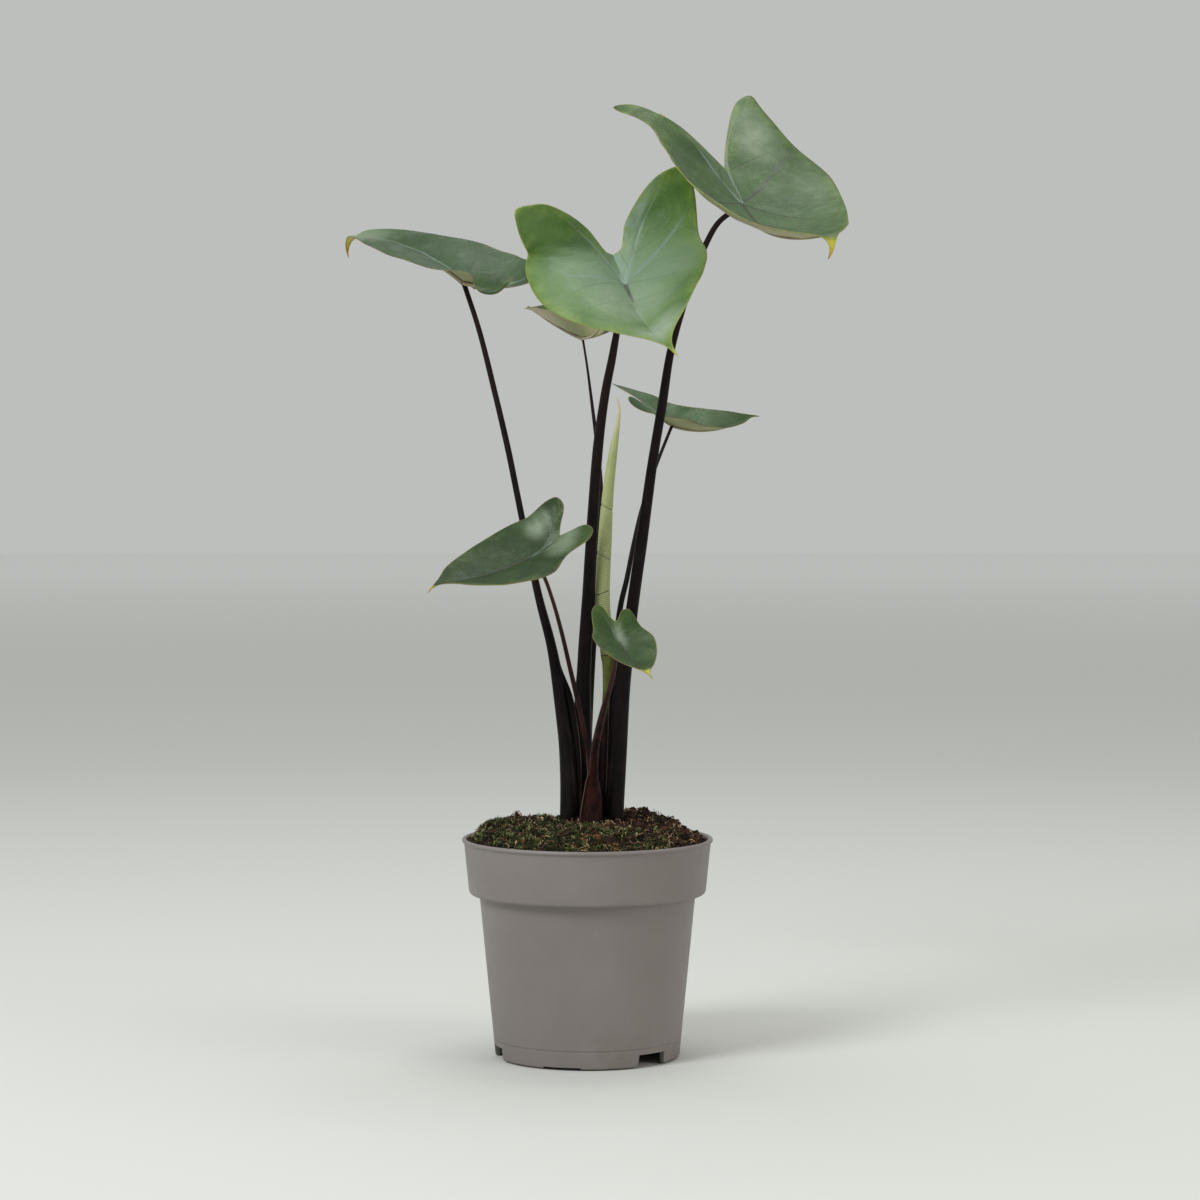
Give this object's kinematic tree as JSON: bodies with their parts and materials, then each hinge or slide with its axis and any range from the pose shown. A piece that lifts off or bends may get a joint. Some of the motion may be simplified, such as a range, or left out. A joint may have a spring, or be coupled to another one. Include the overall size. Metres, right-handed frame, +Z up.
{
  "type": "potted plant",
  "caption": "Potted foliage plant: a tapered nursery pot of soil, arrow-shaped leaves on tall dark stalks, and a new leaf still rolled up.",
  "frame": {"origin": "the middle of the pot's foot, on the surface that it stands on", "axes": "+Z up along the pot's axis, -Y towards the front, +X to the right seen from the front"},
  "size_m": [0.241, 0.2399, 0.4593],
  "materials": {
    "pot": "moulded plastic, grey-taupe, soft sheen",
    "soil": "peat and coarse fibre with dark green moss",
    "blade": "living leaf, mid green with a silvery sheen and paler veins, olive underneath",
    "rolled_blade": "living leaf, pale yellow-green with fine stripes",
    "dark_stalk": "living leaf stalk, near black with a faint sheen",
    "red_stalk": "living leaf stalk, dark reddish brown"
  },
  "bodies": {
    "root": {"pot": "pot", "soil": "soil", "blade_high_left": "blade", "blade_high_centre": "blade", "blade_high_right": "blade", "blade_back": "blade", "blade_mid_right": "blade", "blade_mid_left": "blade", "blade_low": "blade", "blade_rolled": "rolled_blade", "stalk_high_left": "dark_stalk", "stalk_high_centre": "dark_stalk", "stalk_high_right": "dark_stalk", "stalk_back": "dark_stalk", "stalk_mid_right": "dark_stalk", "stalk_mid_left": "red_stalk", "stalk_low": "red_stalk", "stalk_rolled": "red_stalk"}
  },
  "joints": []
}
